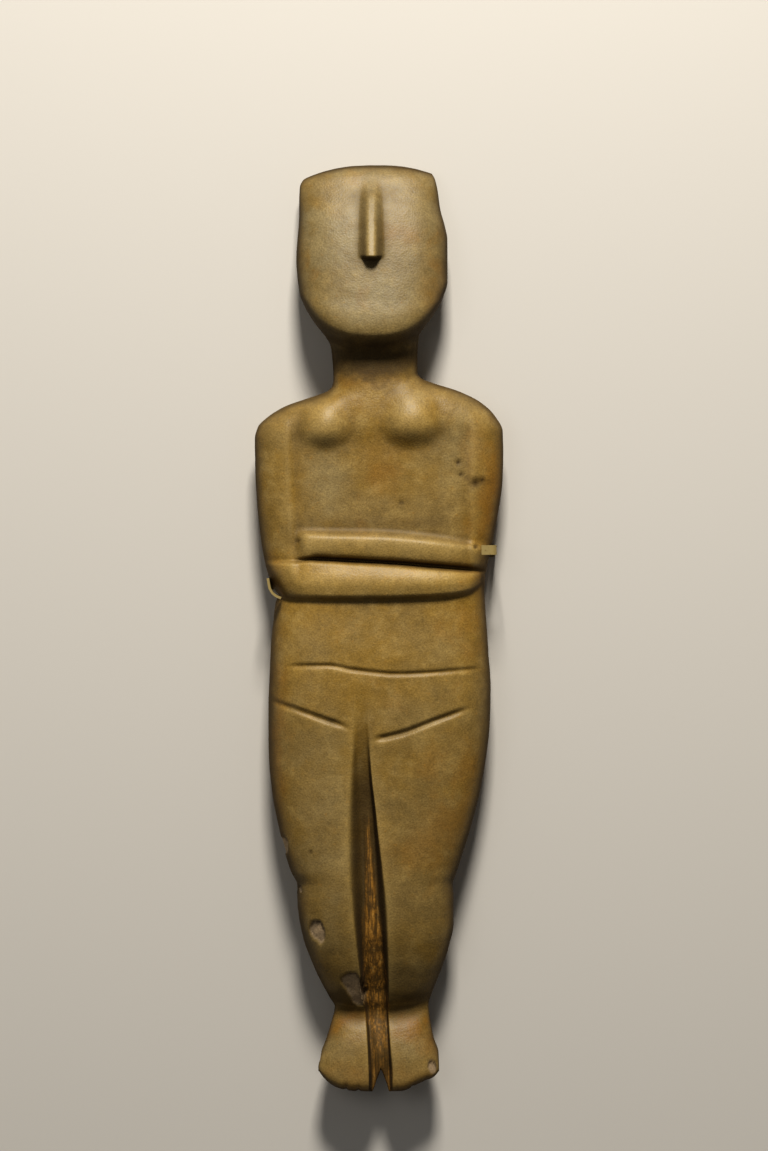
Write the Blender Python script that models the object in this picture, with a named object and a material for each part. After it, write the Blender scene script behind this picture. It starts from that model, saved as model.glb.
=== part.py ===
"""Folded-arm marble figurine lying on its back, with the thin bent metal mount that holds its elbows.

Run with: blender --background --python part.py

Metres, +Z up. X runs across the figure, Y from the toes to the crown, Z up out of the chest. The figurine is one
solid, a loft of unlike sections. Each section crosses the body from its right edge (u = +1) to its left edge
(u = -1): the front rises from the edges to the carved front, and the back falls from them to the surface below.
The sections follow the carving: they arch with the crown and the chin, lie along the folded arms and bend down
along the groin.
"""

import bpy
import bmesh
import numpy as np
from mathutils import Matrix

# ---- driving dimensions: the section grid ---------------------------------------------------------

FRONT_COLUMNS = 36         # facets across the front
BACK_COLUMNS = 18          # facets across the back, half of the front's
COLUMN_CROWDING = 0.38     # how much the facets crowd at the edges and along the middle
ARCH_POWER = 2.3           # an arched section is flat along its middle and falls away at its edges

# ---- driving dimensions: outline and profiles, as (place along Y, value) ---------------------------

LEFT_EDGE = (
    (0.2195, -0.0338), (0.2175, -0.0370), (0.2140, -0.0385), (0.2000, -0.0388), (0.1780, -0.0400),      # skull
    (0.1620, -0.0384), (0.1550, -0.0358), (0.1480, -0.0315), (0.1410, -0.0260), (0.1370, -0.0237),      # jaw
    (0.1280, -0.0225), (0.1200, -0.0221), (0.1170, -0.0226), (0.1145, -0.0248),                         # neck
    (0.1110, -0.0346), (0.1070, -0.0457), (0.1020, -0.0539), (0.0970, -0.0588), (0.0910, -0.0603),      # shoulder
    (0.0760, -0.0602), (0.0600, -0.0593), (0.0450, -0.0578), (0.0320, -0.0556), (0.0240, -0.0532),      # arm
    (0.0190, -0.0508), (0.0150, -0.0487), (0.0125, -0.0499), (0.0040, -0.0511),                         # elbow
    (-0.0150, -0.0529), (-0.0400, -0.0538), (-0.0600, -0.0536), (-0.0800, -0.0519), (-0.1000, -0.0480), # thigh
    (-0.1180, -0.0429), (-0.1250, -0.0396), (-0.1330, -0.0395), (-0.1410, -0.0388),                     # knee
    (-0.1500, -0.0369), (-0.1600, -0.0335), (-0.1720, -0.0282), (-0.1800, -0.0239), (-0.1843, -0.0216), # calf
    (-0.1900, -0.0227), (-0.1990, -0.0255), (-0.2060, -0.0283), (-0.2130, -0.0293),                     # foot
)
RIGHT_EDGE = (
    (0.2205, 0.0257), (0.2180, 0.0270), (0.2130, 0.0282), (0.2030, 0.0296), (0.1950, 0.0317),           # skull
    (0.1880, 0.0330), (0.1680, 0.0331), (0.1600, 0.0310), (0.1520, 0.0269), (0.1450, 0.0217),           # jaw
    (0.1415, 0.0194), (0.1320, 0.0187), (0.1230, 0.0187), (0.1205, 0.0208),                             # neck
    (0.1180, 0.0272), (0.1140, 0.0393), (0.1090, 0.0492), (0.1030, 0.0558), (0.0950, 0.0601),           # shoulder
    (0.0840, 0.0604), (0.0700, 0.0599), (0.0530, 0.0573), (0.0400, 0.0546), (0.0310, 0.0526),           # arm
    (0.0240, 0.0513), (0.0180, 0.0512), (0.0050, 0.0518),                                               # elbow
    (-0.0100, 0.0529), (-0.0300, 0.0540), (-0.0450, 0.0536), (-0.0600, 0.0522), (-0.0800, 0.0487),      # thigh
    (-0.0950, 0.0450), (-0.1080, 0.0410), (-0.1190, 0.0374), (-0.1245, 0.0357), (-0.1320, 0.0361),      # knee
    (-0.1430, 0.0361), (-0.1560, 0.0335), (-0.1680, 0.0294), (-0.1780, 0.0254), (-0.1830, 0.0240),      # calf
    (-0.1900, 0.0247), (-0.1980, 0.0264), (-0.2060, 0.0290), (-0.2130, 0.0292),                         # foot
)
AXIS = (                   # line of the nose, the spine and the floor of the cleft between the legs
    (0.2250, -0.0045), (0.1780, -0.0037), (0.1350, -0.0030), (0.1100, -0.0010), (0.0, -0.0030),
    (-0.0300, -0.0084), (-0.0600, -0.0078), (-0.0860, -0.0060), (-0.1150, -0.0046), (-0.1410, -0.0038),
    (-0.1740, -0.0018), (-0.1900, -0.0007), (-0.2140, 0.0008),
)
FRONT = (                  # height of the front's middle, without its carving
    (0.2250, 0.0140), (0.2140, 0.0195), (0.2000, 0.0260), (0.1770, 0.0335), (0.1580, 0.0385),           # face
    (0.1450, 0.0412), (0.1410, 0.0405), (0.1375, 0.0362), (0.1335, 0.0315), (0.1290, 0.0303),           # chin
    (0.1138, 0.0302), (0.1100, 0.0320), (0.0950, 0.0340), (0.0100, 0.0355),                             # chest
    (-0.0150, 0.0370), (-0.0450, 0.0380), (-0.0900, 0.0375), (-0.1250, 0.0380),                         # thighs
    (-0.1450, 0.0370), (-0.1600, 0.0335), (-0.1720, 0.0285), (-0.1800, 0.0240), (-0.1870, 0.0193),      # shins
    (-0.1890, 0.0195), (-0.1960, 0.0230), (-0.2080, 0.0275), (-0.2250, 0.0285),                         # feet
)
BACK = (                   # height of the back's middle; below zero it is cut off flat
    (0.2250, 0.0030), (0.2150, 0.0002), (0.2000, -0.0005), (0.1850, 0.0005), (0.1650, 0.0045),          # skull
    (0.1450, 0.0100), (0.1280, 0.0110), (0.1150, 0.0080), (0.1000, 0.0040),                             # nape
    (0.0800, 0.0024), (0.0500, 0.0026), (0.0200, 0.0028), (0.0, 0.0018),                                # waist
    (-0.0250, -0.0002), (-0.0450, -0.0007), (-0.0620, 0.0), (-0.0850, 0.0025), (-0.1200, 0.0060),       # seat
    (-0.1400, 0.0018), (-0.1520, -0.0005), (-0.1620, 0.0010), (-0.1800, 0.0065),                        # calves
    (-0.1900, 0.0035), (-0.1960, 0.0045), (-0.2080, 0.0110), (-0.2220, 0.0200),                         # heels
)
RIM = (                    # height at which the front and the back meet, along both edges
    (0.2250, 0.0080), (0.2050, 0.0120), (0.1770, 0.0170), (0.1500, 0.0220), (0.1300, 0.0200),
    (0.1120, 0.0180), (0.0800, 0.0160), (-0.0400, 0.0160), (-0.1300, 0.0190), (-0.1600, 0.0180),
    (-0.1840, 0.0140), (-0.2000, 0.0160), (-0.2150, 0.0210), (-0.2250, 0.0230),
)
SQUARENESS = (             # of a section: 2 is round, 4 is a slab with rounded edges
    (0.2250, 4.5), (0.1700, 3.2), (0.1500, 2.6), (0.1300, 2.1), (0.1120, 3.2), (0.0900, 4.2),
    (-0.0500, 3.8), (-0.1200, 3.2), (-0.1800, 2.8), (-0.2150, 3.2),
)
CROWN_ROUND = 0.0075       # depth over which the crown rounds off
TOE_ROUND = 0.0055         # depth over which the toes round off
END_POWER = 2.4            # squareness of both rounded ends

# ---- driving dimensions: carving -------------------------------------------------------------------

NOSE_X = -0.0037
NOSE_TOP_Y = 0.2125
NOSE_TIP_Y = 0.1787
NOSE_UNDERSIDE = 0.0021    # length of the cut below the tip
NOSE_HALF_WIDTH = 0.0048
NOSE_RISE = (0.0016, 0.0078)   # height above the face at the nose's top and at its tip

# Centre across, centre along, half width, reach up, reach down, height.
BREASTS = (
    (-0.0272, 0.0970, 0.0135, 0.0170, 0.0085, 0.0044),
    (0.0165, 0.0995, 0.0155, 0.0180, 0.0100, 0.0048),
)

# Lines across the body, as (x, y), and the inner edges of the upper arms, as (y, x).
FOREARM_TOP = ((-0.0450, 0.0475), (-0.0200, 0.0470), (0.0, 0.0466), (0.0250, 0.0445), (0.0450, 0.0415),
               (0.0560, 0.0405))
FOREARM_GROOVE = ((-0.0400, 0.0338), (-0.0320, 0.0346), (-0.0140, 0.0338), (0.0050, 0.0328), (0.0250, 0.0312),
                  (0.0550, 0.0286))
FOREARM_BOTTOM = ((-0.0520, 0.0165), (-0.0460, 0.0146), (-0.0240, 0.0140), (0.0, 0.0140), (0.0250, 0.0147),
                  (0.0420, 0.0166), (0.0540, 0.0240))
BELLY_LINE = ((-0.0450, -0.0186), (-0.0240, -0.0183), (-0.0128, -0.0203), (0.0090, -0.0223), (0.0485, -0.0199))
GROIN_LINE = ((-0.0530, -0.0352), (-0.0388, -0.0399), (-0.0262, -0.0443), (-0.0157, -0.0479), (-0.0082, -0.0520),
              (-0.0020, -0.0533), (0.0092, -0.0513), (0.0284, -0.0443), (0.0460, -0.0385), (0.0540, -0.0370))
ARM_LEFT = ((0.1100, -0.0435), (0.0970, -0.0430), (0.0320, -0.0400))
ARM_RIGHT = ((0.1100, 0.0435), (0.0420, 0.0440))
HAND_END_X = -0.0405       # where the upper forearm's hand ends
FOREARM_HEIGHT = 0.0039
CHEST_DEPTH = 0.0019
GROOVE_DEPTH = 0.0018
BELLY_LINE_DEPTH = 0.0010
GROIN_DEPTH = (0.0013, 0.0015)   # to the left and to the right of the cleft

# Cleft between the legs, as (place along Y, value): depth, reach of its banks to both sides, half width and
# height of the rough rib along its floor.
CLEFT_DEPTH = (
    (-0.0300, 0.0), (-0.0400, 0.0005), (-0.0500, 0.0014), (-0.0640, 0.0034), (-0.0860, 0.0068), (-0.1080, 0.0088),
    (-0.1500, 0.0098), (-0.1750, 0.0085), (-0.1870, 0.0042), (-0.2000, 0.0050), (-0.2140, 0.0065),
)
CLEFT_LEFT = ((-0.0300, 0.0030), (-0.0600, 0.0056), (-0.0860, 0.0090), (-0.1150, 0.0105), (-0.1410, 0.0088),
              (-0.1740, 0.0068), (-0.1900, 0.0058), (-0.2140, 0.0060))
CLEFT_RIGHT = ((-0.0300, 0.0030), (-0.0860, 0.0042), (-0.1150, 0.0062), (-0.1410, 0.0080), (-0.1740, 0.0066),
               (-0.1900, 0.0054), (-0.2140, 0.0060))
CLEFT_FLOOR = ((-0.0300, 0.0012), (-0.0860, 0.0024), (-0.1410, 0.0034), (-0.1740, 0.0044), (-0.2140, 0.0040))
FLOOR_RIB = ((-0.0800, 0.0), (-0.1100, 0.0012), (-0.1800, 0.0016), (-0.2140, 0.0008))
COLUMN_AT_FLOOR = 0.055    # u of the facets' edges that follow the cleft's floor and its banks
COLUMN_AT_BANK = 0.178
SPINE_DEPTH = 0.0012
BACK_CLEFT_DEPTH = 0.0045

TOE_RING_Y = -0.2150       # last section before the toes' own edge
TOE_Y = -0.2248            # end of the longest toe
TOE_NOTCH_X = 0.0010
TOE_NOTCH_HALF_WIDTH = 0.0037
TOE_NOTCH_DEPTH = 0.0112

# Sections from crown to toes: left edge, middle and right edge of the front (or the line of the carving that the
# section follows), shift of the whole section, lag of the back's middle, and the number of facets to the next one.
SECTIONS = (
    ((0.2187, 0.2250, 0.2205), 0, 0, 4),                # crown
    ((0.2110, 0.2160, 0.2125), 0, -0.0020, 6),          # brow
    ((0.1800, 0.1788, 0.1800), 0, 0.0042, 1),           # tip of the nose
    ((0.1780, 0.1766, 0.1780), 0, 0.0044, 3),           # under the nose
    ((0.1660, 0.1640, 0.1660), 0, 0.0060, 4),           # cheeks
    ((0.1540, 0.1420, 0.1540), 0, 0.0180, 3),           # rim of the chin
    ((0.1400, 0.1335, 0.1400), 0, 0.0125, 2),           # under the chin
    ((0.1210, 0.1220, 0.1250), 0, 0.0020, 2),           # neck
    ((0.1145, 0.1138, 0.1190), 0, 0.0027, 5),           # root of the neck
    ((0.0985, 0.1000, 0.1030), 0, 0.0010, 4),           # shoulders
    ((0.0850, 0.0850, 0.0870), 0, 0.0010, 3),           # below the breasts
    (FOREARM_TOP, 0.0014, 0, 1),
    (FOREARM_TOP, -0.0018, 0, 3),
    (FOREARM_GROOVE, 0.0018, 0, 1),
    (FOREARM_GROOVE, -0.0002, 0, 1),
    (FOREARM_GROOVE, -0.0024, 0, 3),
    (FOREARM_BOTTOM, 0.0016, 0, 1),
    (FOREARM_BOTTOM, -0.0014, 0, 4),
    (BELLY_LINE, 0.0022, 0, 1),
    (BELLY_LINE, 0, 0, 1),
    (BELLY_LINE, -0.0022, 0, 2),
    (GROIN_LINE, 0.0026, 0.0120, 1),
    (GROIN_LINE, 0, 0.0120, 1),
    (GROIN_LINE, -0.0026, 0.0120, 6),
    ((-0.1140, -0.1140, -0.1140), 0, 0, 7),             # above the knees
    ((-0.1360, -0.1360, -0.1360), 0, 0, 2),             # below the knees
    ((-0.1500, -0.1500, -0.1500), 0, 0, 6),             # shins
    ((-0.1845, -0.1875, -0.1825), 0, 0.0080, 6),        # ankles
    ((-0.2150, -0.2150, -0.2150), 0, 0, 0),             # toes
)
BODY_HALF_WIDTH = 0.0540   # width at which the lines across the body are read

# ---- driving dimensions: metal mount ----------------------------------------------------------------

STRIP_THICKNESS = 0.0012
STRAP_WIDTH = 0.0060
LEFT_PRONG_PATH = ((-0.0537, 0.0238), (-0.0533, 0.0212), (-0.0528, 0.0188), (-0.0515, 0.0166), (-0.0496, 0.0151),
                   (-0.0473, 0.0141))
LEFT_LEG_POINTS = 3        # points of that path along which the prong stands on the strap
LEFT_BAND_Z = (0.0264, 0.0298)
RIGHT_PRONG_Y = (0.0351, 0.0397)
RIGHT_LEG_X = 0.0562       # middle of the leg's thickness
RIGHT_TAB_END_X = 0.0494
RIGHT_TAB_Z = 0.0335
BEND_RADIUS = 0.0018
STRAP_ENDS = ((-0.0533, 0.0212), (RIGHT_LEG_X, 0.0374))

MARBLE = ("marble", (0.42, 0.30, 0.15), 0.55, 0.0)
PAINTED_BRASS = ("painted brass", (0.50, 0.42, 0.20), 0.45, 0.4)


# ---- curves ------------------------------------------------------------------------------------------

def curve(points, at):
    """Smooth curve through (place, value) points that never overshoots them (monotone cubic)."""
    places, values = np.array(sorted(points)).T
    span = np.diff(places)
    slope = np.diff(values) / span
    tangent = np.zeros_like(values)
    tangent[0], tangent[-1] = slope[0], slope[-1]
    same_way = slope[:-1] * slope[1:] > 0
    before, after = slope[:-1][same_way], slope[1:][same_way]
    tangent[1:-1][same_way] = 2 * before * after / (before + after)
    at = np.clip(at, places[0], places[-1])
    k = np.clip(np.searchsorted(places, at, side="right") - 1, 0, len(span) - 1)
    t = (at - places[k]) / span[k]
    return (values[k] * (1 + 2 * t) * (1 - t) ** 2 + values[k + 1] * t * t * (3 - 2 * t)
            + tangent[k] * span[k] * t * (1 - t) ** 2 - tangent[k + 1] * span[k] * t * t * (1 - t))


def rise(low, high, x):
    """0 below low, 1 above high, smooth between."""
    t = np.clip((x - low) / (high - low), 0, 1)
    return t * t * (3 - 2 * t)


def swell(x, width):
    """Bell that falls to a third at width."""
    return np.exp(-(x / width) ** 2)


# ---- carving, as height added at (x, y) ----------------------------------------------------------------

def nose(x, y):
    """Wedge that stands out more towards its tip and is cut off square below."""
    down = np.clip((NOSE_TOP_Y - y) / (NOSE_TOP_Y - NOSE_TIP_Y), 0, 1)
    height = NOSE_RISE[0] + (NOSE_RISE[1] - NOSE_RISE[0]) * down
    across = 1 - rise(NOSE_HALF_WIDTH - 0.0022, NOSE_HALF_WIDTH + 0.0010, np.abs(x - NOSE_X))
    return height * across * rise(0.0030, -0.0030, y - NOSE_TOP_Y) * rise(-NOSE_UNDERSIDE, 0, y - NOSE_TIP_Y)


def breasts(x, y):
    """Low mounds, steeper on their lower side."""
    total = np.zeros_like(x)
    for centre_x, centre_y, half_width, reach_up, reach_down, height in BREASTS:
        reach = np.where(y > centre_y, reach_up, reach_down)
        away = ((x - centre_x) / half_width) ** 2 + ((y - centre_y) / reach) ** 2
        total += height * np.clip(1 - away, 0, 1) ** 1.3
    return total


def sunk_chest(x, y):
    """The chest lies lower than the upper arms beside it."""
    inside = rise(-0.0022, 0.0016, x - curve(ARM_LEFT, y)) * rise(-0.0022, 0.0016, curve(ARM_RIGHT, y) - x)
    return -CHEST_DEPTH * inside * rise(0.106, 0.088, y) * rise(0.020, 0.030, y)


def forearms(x, y):
    """Two rounded bands across the body with a deep groove between them."""
    top, groove, bottom = (curve(points, x) for points in (FOREARM_TOP, FOREARM_GROOVE, FOREARM_BOTTOM))
    hand = rise(HAND_END_X, HAND_END_X + 0.004, x)
    upper = rise(-0.0012, 0.0018, top - y) * rise(-0.0006, 0.0018, y - groove) * hand
    lower = rise(-0.0006, 0.0024, groove - y) * rise(-0.0014, 0.0016, y - bottom)
    upper_crown = 0.55 + 0.45 * np.sqrt(np.clip(1 - ((y - top * 0.62 - groove * 0.38) / 0.011) ** 2, 0, 1))
    lower_crown = 0.50 + 0.50 * np.sqrt(np.clip(1 - ((y - groove * 0.6 - bottom * 0.4) / 0.013) ** 2, 0, 1))
    cut = GROOVE_DEPTH * swell(y - groove, 0.0015) * rise(-0.037, -0.028, x)
    return FOREARM_HEIGHT * (upper * upper_crown + lower * lower_crown) - cut


def incised_lines(x, y):
    """Shallow line across the belly and the two lines of the groin, each fading at its ends."""
    belly = swell(y - curve(BELLY_LINE, x), 0.0014) * rise(-0.046, -0.038, x) * rise(0.050, 0.044, x)
    groin = swell(y - curve(GROIN_LINE, x), 0.0017)
    left = groin * rise(-0.012, -0.022, x) * rise(-0.055, -0.048, x)
    right = groin * rise(-0.0035, 0.0025, x) * rise(0.047, 0.036, x)
    return -(BELLY_LINE_DEPTH * belly + GROIN_DEPTH[0] * left + GROIN_DEPTH[1] * right)


def cleft_reach(side, y):
    """Half width of the cleft's floor, and the reach of the bank on the side that a point is on."""
    return curve(CLEFT_FLOOR, y), np.where(side < 0, curve(CLEFT_LEFT, y), curve(CLEFT_RIGHT, y))


def leg_cleft(x, y):
    """Groove between the legs with rounded banks and a low rib along its floor."""
    side = x - curve(AXIS, y)
    floor, bank = cleft_reach(side, y)
    wall = rise(0, 1, (np.abs(side) - floor) / (bank - floor))
    rib = curve(FLOOR_RIB, y) * np.clip(1 - (side / floor) ** 2, 0, 1)
    return rib - curve(CLEFT_DEPTH, y) * (1 - wall)


def front_height(x, y, place):
    body = nose(x, y) + breasts(x, y) + sunk_chest(x, y) + forearms(x, y)
    return curve(FRONT, place) + body + incised_lines(x, y) + leg_cleft(x, y)


def back_height(x, y, place):
    """Back with a shallow groove down the spine and a cleft between the legs."""
    side = x - curve(AXIS, y)
    spine = SPINE_DEPTH * swell(side, 0.0035) * rise(0.112, 0.098, y) * rise(-0.012, 0.010, y)
    cleft = BACK_CLEFT_DEPTH * swell(side, 0.0045) * rise(-0.060, -0.110, y)
    return curve(BACK, place) + spine + cleft


# ---- sections --------------------------------------------------------------------------------------------

def across(columns):
    """u from +1 to -1, crowded at the edges and along the middle."""
    angle = np.pi * np.arange(columns + 1) / columns
    return np.cos(angle - COLUMN_CROWDING * np.sin(4 * angle) / 4)


def spread(u, reach, y):
    """Distance from the axis at each u. On the legs the columns follow the cleft's floor and its banks."""
    part = np.abs(u)
    floor, bank = cleft_reach(u, y)
    wall = floor + (bank - floor) * (part - COLUMN_AT_FLOOR) / (COLUMN_AT_BANK - COLUMN_AT_FLOOR)
    leg = bank + (reach - bank) * (part - COLUMN_AT_BANK) / (1 - COLUMN_AT_BANK)
    led = np.where(part < COLUMN_AT_FLOOR, floor * part / COLUMN_AT_FLOOR, np.where(part < COLUMN_AT_BANK, wall, leg))
    return part * reach + rise(-0.040, -0.075, y) * (led - part * reach)


def arch(left, middle, right, u):
    """Line across the body that is flat along its middle and falls away to both edges."""
    straight = left + (right - left) * (u + 1) / 2
    return straight + (middle - (left + right) / 2) * (1 - np.abs(u) ** ARCH_POWER)


def stated_line(shape, shift, u):
    """Place along Y of a stated section at each u: an arch of three places, or a line of the carving."""
    if len(shape) == 3:
        return arch(*shape, u) + shift
    return curve(shape, u * BODY_HALF_WIDTH) + shift


def all_sections(u):
    """Places along Y of the stated sections and of those between them, on a smooth curve in each column."""
    stated_lines = np.array([stated_line(shape, shift, u) for shape, shift, _, _ in SECTIONS])
    stated_rows = np.cumsum([0] + [facets for _, _, _, facets in SECTIONS[:-1]])
    rows = np.arange(stated_rows[-1] + 1)
    lag = curve(list(zip(stated_rows, [back_lag for _, _, back_lag, _ in SECTIONS])), rows)
    places = np.stack([curve(list(zip(stated_rows, column)), rows) for column in stated_lines.T], axis=1)
    return places, lag[:, None]


def front_lines(columns):
    return all_sections(across(columns))[0]


def back_lines(columns):
    """The back shares its edges with the front and arches to a middle of its own."""
    places, lag = all_sections(np.array([1.0, 0.0, -1.0]))
    right, middle, left = np.split(places, 3, axis=1)
    return arch(left, middle + lag, right, across(columns)[None, :])


def toe_edge(x):
    """Place of the toes' outer edge, with the notch between the feet."""
    along_foot = np.clip(np.abs(x) / 0.029, 0, 1)
    chipped_corner = 0.0022 * rise(0.011, 0.020, x) * rise(0.028, 0.022, x)
    notch = TOE_NOTCH_DEPTH * np.clip(1 - np.abs(x - TOE_NOTCH_X) / TOE_NOTCH_HALF_WIDTH, 0, 1) ** 0.85
    return TOE_RING_Y + (TOE_Y - TOE_RING_Y) * (1 - along_foot ** 4.5) + chipped_corner + notch


def sheet(y, height):
    """Points of the front or the back, from the sections' places along Y."""
    columns = y.shape[1] - 1
    u = across(columns)[None, :]
    right_y, middle_y, left_y = y[:, :1], y[:, columns // 2:columns // 2 + 1], y[:, -1:]
    axis = curve(AXIS, middle_y)
    reach = np.where(u > 0, curve(RIGHT_EDGE, right_y) - axis, axis - curve(LEFT_EDGE, left_y))
    x = axis + np.sign(u) * spread(u, reach, y)
    edge_y = (right_y + left_y) / 2
    y = y + rise(-0.190, TOE_RING_Y, edge_y) ** 2 * (toe_edge(x) - TOE_RING_Y)
    fullness = np.sqrt(np.clip(1 - np.abs(u) ** curve(SQUARENESS, edge_y), 0, 1))
    crown_end = np.clip((y[0, columns // 2] - middle_y) / CROWN_ROUND, 0, 1)
    toe_end = np.clip((edge_y - TOE_RING_Y) / TOE_ROUND, 0, 1)
    rounding = np.sqrt((1 - (1 - crown_end) ** END_POWER) * (1 - (1 - toe_end) ** END_POWER))
    rim = curve(RIM, edge_y)
    z = rim + (height(x, y, middle_y) - rim) * fullness * rounding
    return np.stack([x, y, np.maximum(z, 0)], axis=-1)


def figurine_mesh():
    """Joins the front and the back along their shared edges, crown and toes."""
    front = sheet(front_lines(FRONT_COLUMNS), front_height)
    back = sheet(back_lines(BACK_COLUMNS), back_height)
    last = len(front) - 1
    bm = bmesh.new()
    front_verts = [[bm.verts.new(point) for point in row] for row in front]
    back_verts = [[bm.verts.new(point) for point in row[1:-1]] for row in back[1:-1]]

    def back_vert(i, j):
        if i in (0, last) or j in (0, BACK_COLUMNS):
            return front_verts[i][2 * j]
        return back_verts[i - 1][j - 1]

    for i in range(last):
        for j in range(FRONT_COLUMNS):
            above, below = front_verts[i], front_verts[i + 1]
            bm.faces.new((above[j], above[j + 1], below[j + 1], below[j]))
        for j in range(BACK_COLUMNS):
            corners = [back_vert(i, j + 1), back_vert(i, j), back_vert(i + 1, j), back_vert(i + 1, j + 1)]
            if i == 0:
                corners.insert(1, front_verts[0][2 * j + 1])
            if i == last - 1:
                corners.insert(3, front_verts[last][2 * j + 1])
            bm.faces.new(corners)
    bmesh.ops.triangulate(bm, faces=bm.faces[:])
    bmesh.ops.recalc_face_normals(bm, faces=bm.faces[:])
    return finish_mesh(bm, "figurine")


# ---- objects ---------------------------------------------------------------------------------------------

def finish_mesh(bm, name):
    mesh = bpy.data.meshes.new(name)
    bm.to_mesh(mesh)
    bm.free()
    mesh.shade_smooth()
    mesh.set_sharp_from_angle(angle=np.radians(35))
    return mesh


def centre(mesh):
    """Moves the figurine so that its box is centred over the origin."""
    corners = np.array([vertex.co for vertex in mesh.vertices])
    middle = (corners.min(axis=0) + corners.max(axis=0)) / 2
    mesh.transform(Matrix.Translation((-middle[0], -middle[1], 0)))
    return mesh


def material(name, colour, roughness, metallic):
    made = bpy.data.materials.new(name)
    made.use_nodes = True
    shader = made.node_tree.nodes["Principled BSDF"]
    shader.inputs["Base Color"].default_value = (*colour, 1)
    shader.inputs["Roughness"].default_value = roughness
    shader.inputs["Metallic"].default_value = metallic
    return made


def add_object(name, mesh, look, collection):
    made = bpy.data.objects.new(name, mesh)
    mesh.materials.append(material(*look))
    collection.objects.link(made)
    return made


def prism(outline, low, high, axis):
    """Closed solid from a flat outline, carried from low to high along one axis (0 is X, 1 is Y, 2 is Z)."""
    bm = bmesh.new()
    corners = [bm.verts.new(np.insert(point, axis, low)) for point in outline]
    grown = bmesh.ops.extrude_face_region(bm, geom=[bm.faces.new(corners)])
    moved = [item for item in grown["geom"] if isinstance(item, bmesh.types.BMVert)]
    bmesh.ops.translate(bm, verts=moved, vec=np.insert(np.zeros(2), axis, high - low))
    bmesh.ops.recalc_face_normals(bm, faces=bm.faces[:])
    return bm


def strip_outline(path, thickness):
    """Outline of a strip of even thickness along a path in one plane."""
    path = np.array(path)
    heading = np.gradient(path, axis=0)
    heading /= np.linalg.norm(heading, axis=1, keepdims=True)
    sideways = heading[:, ::-1] * (-1, 1) * thickness / 2
    return np.concatenate([path + sideways, (path - sideways)[::-1]])


def strap():
    """Flat strip below the waist, from one prong to the other."""
    return prism(strip_outline(STRAP_ENDS, STRAP_WIDTH), 0, STRIP_THICKNESS, 2)


def left_prong():
    """Leg beside the elbow, with a band at its head that curls under the elbow."""
    leg = prism(strip_outline(LEFT_PRONG_PATH[:LEFT_LEG_POINTS], STRIP_THICKNESS), 0, LEFT_BAND_Z[1], 2)
    band = prism(strip_outline(LEFT_PRONG_PATH, STRIP_THICKNESS), *LEFT_BAND_Z, 2)
    return leg, band


def right_prong():
    """Leg beside the elbow, bent over its front into a flat tab."""
    turn = np.radians(np.arange(0, 91, 15))
    bend = np.stack([RIGHT_LEG_X - BEND_RADIUS + BEND_RADIUS * np.cos(turn),
                     RIGHT_TAB_Z - BEND_RADIUS + BEND_RADIUS * np.sin(turn)], axis=1)
    path = np.concatenate([[(RIGHT_LEG_X, 0)], bend, [(RIGHT_TAB_END_X, RIGHT_TAB_Z)]])
    return prism(strip_outline(path, STRIP_THICKNESS), *RIGHT_PRONG_Y, 1)


def mount_cradle(collection, cutters):
    """Unites the strap and the prongs into one bent strip."""
    cradle = add_object("mount_cradle", finish_mesh(strap(), "mount_cradle"), PAINTED_BRASS, collection)
    for number, piece in enumerate((*left_prong(), right_prong()), start=1):
        guide = bpy.data.objects.new(f"prong_{number}", finish_mesh(piece, f"prong_{number}"))
        cutters.objects.link(guide)
        guide.hide_render = True
        guide.display_type = "WIRE"
        union = cradle.modifiers.new(guide.name, "BOOLEAN")
        union.operation = "UNION"
        union.object = guide
    return cradle


def main():
    for item in list(bpy.data.objects):
        bpy.data.objects.remove(item)
    collection = bpy.data.collections.new("cycladic figurine")
    cutters = bpy.data.collections.new("cutters")
    bpy.context.scene.collection.children.link(collection)
    bpy.context.scene.collection.children.link(cutters)
    add_object("figurine", centre(figurine_mesh()), MARBLE, collection)
    mount_cradle(collection, cutters)


main()
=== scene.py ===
import bmesh
import bpy
import numpy as np
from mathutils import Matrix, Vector


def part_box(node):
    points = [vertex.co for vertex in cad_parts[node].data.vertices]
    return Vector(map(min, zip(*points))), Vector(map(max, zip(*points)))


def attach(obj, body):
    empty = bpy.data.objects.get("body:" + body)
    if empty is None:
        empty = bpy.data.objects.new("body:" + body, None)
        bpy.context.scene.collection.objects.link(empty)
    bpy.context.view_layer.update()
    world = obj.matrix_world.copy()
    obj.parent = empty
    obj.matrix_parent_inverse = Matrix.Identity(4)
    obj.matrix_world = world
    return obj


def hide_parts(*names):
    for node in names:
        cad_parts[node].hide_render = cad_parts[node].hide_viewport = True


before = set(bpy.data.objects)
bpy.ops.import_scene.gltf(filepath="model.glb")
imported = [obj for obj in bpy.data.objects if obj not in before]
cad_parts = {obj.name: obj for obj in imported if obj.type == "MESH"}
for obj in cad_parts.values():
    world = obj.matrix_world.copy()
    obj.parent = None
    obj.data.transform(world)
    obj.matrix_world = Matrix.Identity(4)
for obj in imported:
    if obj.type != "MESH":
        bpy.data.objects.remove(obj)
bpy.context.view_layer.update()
print("stage 1: CAD frame loaded")

# Folded-arm marble figurine lying on its back, held at the elbows by a thin bent metal mount. Metres, +Z up.
# X runs across the figure, Y from the toes to the crown, Z up out of the chest.

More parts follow.
